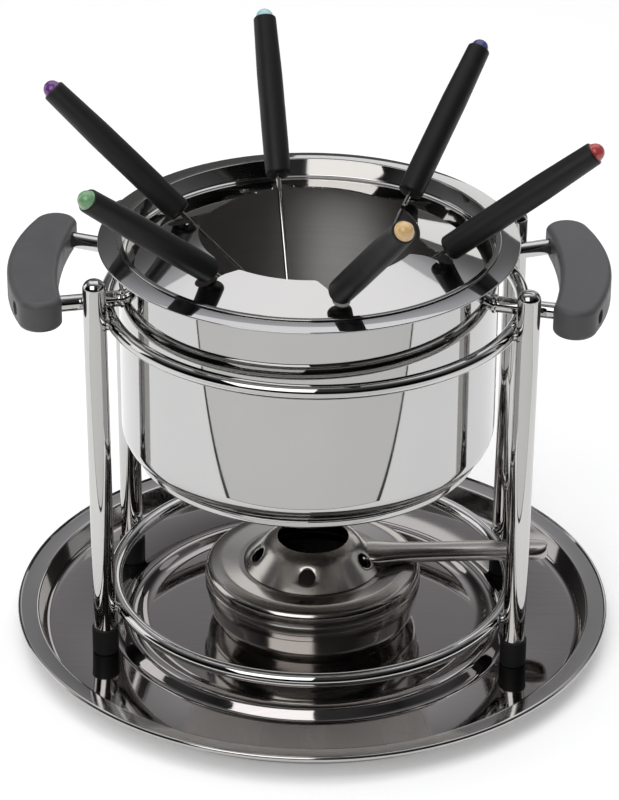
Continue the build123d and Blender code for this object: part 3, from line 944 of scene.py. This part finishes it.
def pierced_cone(name, inset, foot_z, dish, solid_sector=None):
    """A sheet cone with a ring of round vents, meshed so that the quads flow round each hole."""
    profile, slant = cone_profile(inset, foot_z)
    hole_t = min((abs(profile(i / 200)[1] - VENT_Z), i / 200) for i in range(201))[1]
    build = bmesh.new()
    for k in range(VENTS):
        turn = VENT_FIRST + 360.0 / VENTS * k
        rings = []
        if k == solid_sector:
            radius, height = profile(hole_t)
            rings.append([polar(radius, turn, height)] * len(sector_border()))
        for share in (0.0, 0.1, 0.3, 0.55, 0.78, 1.0):
            rings.append(vent_ring(share, turn, profile, slant, hole_t, dish * (share == 0.0)))
        bridge(build, [[build.verts.new(spot * MM) for spot in ring] for ring in rings])
    bmesh.ops.remove_doubles(build, verts=build.verts, dist=0.00001)
    bmesh.ops.dissolve_degenerate(build, edges=build.edges, dist=0.000001)
    bmesh.ops.recalc_face_normals(build, faces=build.faces)
    if sum(face.normal.z for face in build.faces) < 0:
        bmesh.ops.reverse_faces(build, faces=build.faces)
    return finish_mesh(name, build, 60.0)


def build_sleeve():
    """The fixed cone that the regulator turns on. One sector has no vent, so it shuts the vent over it."""
    mesh = pierced_cone("sleeve_cone", SLEEVE_INSET, SLEEVE_Z, 0.0, BLIND_VENT)
    piece = add_piece("sleeve_cone", mesh, [SHADED_INSIDE_STEEL], "burner", "burner_steel", "inner_sleeve")
    thicken(piece, CAP_SHEET)


def build_cap():
    """The turning cone: bright outside, painted shade inside, its vents' edges pressed in."""
    mesh = pierced_cone("regulator_cone", 0.0, CAP_Z, 0.3)
    finishes = [REGULATOR_STEEL, SHADED_INSIDE_STEEL]
    piece = add_piece("regulator_cone", mesh, finishes, "regulator", "regulator_steel", "regulator_cap")
    thicken(piece, CAP_SHEET, 1)


def build_arm():
    """The pressed lever: an arched channel that flares where it joins the cone and at its end."""
    build = bmesh.new()
    sides = 16
    rings = []
    for reach, half, crown, deep in ARM_STATIONS:
        ring = []
        for i in range(sides + 1):
            turn = math.pi * i / sides
            across = math.copysign(abs(math.cos(turn)) ** 0.7, math.cos(turn))
            height = crown - deep + deep * math.sin(turn) ** 0.7
            ring.append(build.verts.new((reach * MM, half * across * MM, height * MM)))
        rings.append(ring)
    for a, b in zip(rings, rings[1:]):
        for i in range(sides):
            build.faces.new((a[i], a[i + 1], b[i + 1], b[i]))
    build.faces.new(rings[-1])
    bmesh.ops.recalc_face_normals(build, faces=build.faces)
    mesh = finish_mesh("lever_channel", build, 60.0, Matrix.Rotation(math.radians(ARM_ANGLE), 4, "Z"))
    finishes = [REGULATOR_STEEL]
    piece = add_piece("lever_channel", mesh, finishes, "regulator", "regulator_steel", "regulator_arm")
    curve = piece.modifiers.new("round", "SUBSURF")
    curve.levels = 2
    curve.render_levels = 2
    thicken(piece, ARM_SHEET)


# ---- CAD nodes that show as they are ---------------------------------------------------------


def finish_cad_nodes():
    """Materials for the two grips and their screws."""
    finishes = {f"grip_{side}": GRIP_BLACK for side in SIDES}
    finishes["grip_screws"] = CHROME
    for name, material in finishes.items():
        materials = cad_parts[name].data.materials
        materials.clear()
        materials.append(material)


# ---- Scene: floor, lights, world, camera -----------------------------------------------------


def build_floor():
    """A plain pale floor under the tray."""
    half = FLOOR_HALF
    mesh = bpy.data.meshes.new("floor")
    corners = [(-half, -half, 0), (half, -half, 0), (half, half, 0), (-half, half, 0)]
    mesh.from_pydata(corners, [], [(0, 1, 2, 3)])
    paint = matt("floor_white", 0.9, 0.24, 3.0, (0.84, 0.84, 0.842), (0.88, 0.88, 0.882))
    link("floor", mesh, [paint])


def sheet_outline(grow, corner):
    """The grey card's back edge and sides, with rounded corners, grown by a margin."""
    half = SHEET_HALF + grow
    back = SHEET_BACK + grow
    right = [(half, SHEET_FRONT), (half, back, corner)]
    left = [(-half, back, corner), (-half, SHEET_FRONT)]
    return rounded(right + left, 6)


def build_reflected_card():
    """A grey card flat on the floor in front, its grey partly its own tone and partly painted shade, with a
    dark border of painted shadow along its edge: it shows only in reflections.
    """
    outer = sheet_outline(SEAM_WIDTH, SEAM_CORNER)
    inner = sheet_outline(0.0, SHEET_CORNER)
    count = len(outer)
    strip = bpy.data.meshes.new("floor_seam")
    quads = [(i, i + 1, count + i + 1, count + i) for i in range(count - 1)]
    strip.from_pydata([(x, y, 0.0006) for x, y in outer + inner], [], quads)
    # Painted shadow: the dark border stands in for the shadow in the gap between the card and the floor
    # board.
    dark = matt("floor_seam_painted_shadow", 0.9, 0.0, 20.0, (0.02, 0.02, 0.02), (0.03, 0.03, 0.03))
    seam = link("floor_seam", strip, [dark])
    sheet = bpy.data.meshes.new("floor_sheet")
    sheet.from_pydata([(x, y, 0.0003) for x, y in inner], [], [tuple(range(count))])
    # The card's grey is partly its own tone and partly painted shade, for the floor in front lying in shade.
    grey = matt("floor_sheet_shaded_grey", 0.8, 0.40, 6.0, (0.42, 0.42, 0.41), (0.46, 0.46, 0.45))
    card = link("floor_sheet", sheet, [grey])
    for piece in (seam, card):
        piece.visible_camera = False
        piece.visible_diffuse = False
        piece.visible_shadow = False


def add_panel(name, at, aim, width, height, radiance):
    """A softbox: a rectangular area light whose glow doesn't depend on its size."""
    light = bpy.data.lights.new(name, "AREA")
    light.shape = "RECTANGLE"
    light.size = width
    light.size_y = height
    light.energy = radiance * width * height * math.pi
    lamp = bpy.data.objects.new(name, light)
    lamp.location = at
    lamp.rotation_euler = (Vector(aim) - Vector(at)).to_track_quat("-Z", "Y").to_euler()
    lamp.visible_camera = False
    bpy.context.scene.collection.objects.link(lamp)
    return lamp


def build_lights():
    """A bank overhead, softboxes front left and back right, weak sides, and a fill that isn't reflected."""
    for name, settings in PANELS.items():
        lamp = add_panel(name, *settings)
        lamp.visible_glossy = name != "fill"


def room_brightness(tree, direction):
    """The room is weaker in front and towards the sides."""
    limits = {"From Min": -0.35, "From Max": 0.25, "To Min": 0.08, "To Max": 1.0}
    behind = add_node(tree, "MapRange", {"Value": direction.outputs["Y"], **limits})
    side = add_node(tree, "Math", {0: direction.outputs["X"]}, operation="ABSOLUTE")
    limits = {"From Min": 0.30, "From Max": 0.75, "To Min": 1.0, "To Max": 0.30}
    middle = add_node(tree, "MapRange", {"Value": side.outputs[0], **limits})
    factors = {0: behind.outputs["Result"], 1: middle.outputs["Result"]}
    return add_node(tree, "Math", factors, operation="MULTIPLY").outputs[0]


def room_colour(tree, direction):
    """The room goes from warm and dark below to pale above."""
    tower = add_node(tree, "ValToRGB", {0: direction.outputs["Z"]})
    tower.color_ramp.interpolation = "B_SPLINE"
    stops = tower.color_ramp.elements
    stops[0].position = 0.0
    stops[0].color = (0.10, 0.095, 0.09, 1.0)
    stops[1].position = 1.0
    stops[1].color = (0.72, 0.72, 0.73, 1.0)
    for position, level in ((0.29, 0.095), (0.47, 0.12), (0.60, 0.60), (0.80, 0.70)):
        blue = level * 1.06 if position > 0.5 else level
        stops.new(position).color = (level, level, blue, 1.0)
    return tower.outputs["Color"]


def build_world():
    """White to the camera. All other rays see a room that brightens with height and towards the back."""
    world = bpy.data.worlds.new("studio")
    world.use_nodes = True
    tree = world.node_tree
    where = add_node(tree, "TexCoord").outputs["Generated"]
    direction = add_node(tree, "SeparateXYZ", {0: where})
    room = tree.nodes["Background"]
    tree.links.new(room_colour(tree, direction), room.inputs["Color"])
    tree.links.new(room_brightness(tree, direction), room.inputs["Strength"])
    white = add_node(tree, "Background", {"Color": (1.0, 1.0, 1.0, 1.0)})
    is_camera = add_node(tree, "LightPath").outputs["Is Camera Ray"]
    mix = add_node(tree, "MixShader", {0: is_camera, 1: room.outputs[0], 2: white.outputs[0]})
    tree.links.new(mix.outputs[0], tree.nodes["World Output"].inputs["Surface"])
    bpy.context.scene.world = world


def build_camera():
    """The product-shot camera: a long lens, looking down at 28 degrees."""
    data = bpy.data.cameras.new("camera")
    data.sensor_width = 36.0
    data.lens = CAMERA_LENS
    data.clip_start = 0.05
    data.clip_end = 20.0
    data.shift_x, data.shift_y = CAMERA_SHIFT
    camera = bpy.data.objects.new("camera", data)
    camera.location = CAMERA_PLACE
    turn = Vector(CAMERA_FORWARD).to_track_quat("-Z", "Y").to_matrix().to_4x4()
    roll = Matrix.Rotation(math.radians(CAMERA_ROLL), 4, "Z")
    camera.rotation_euler = (turn @ roll).to_euler()
    bpy.context.scene.collection.objects.link(camera)
    bpy.context.scene.camera = camera


build_tray()
build_stand()
build_pot()
build_base_plate()
for rod_place, rod_angle in ROD_ANGLES.items():
    build_rod(rod_place, rod_angle)
build_guard()
for fork_colour in FORKS:
    build_fork(fork_colour)
build_cup()
build_shell()
build_sleeve()
build_cap()
build_arm()
build_wad()
build_gauze()
finish_cad_nodes()
build_floor()
build_reflected_card()
build_lights()
build_world()
build_camera()
bpy.context.scene.view_settings.view_transform = "Standard"
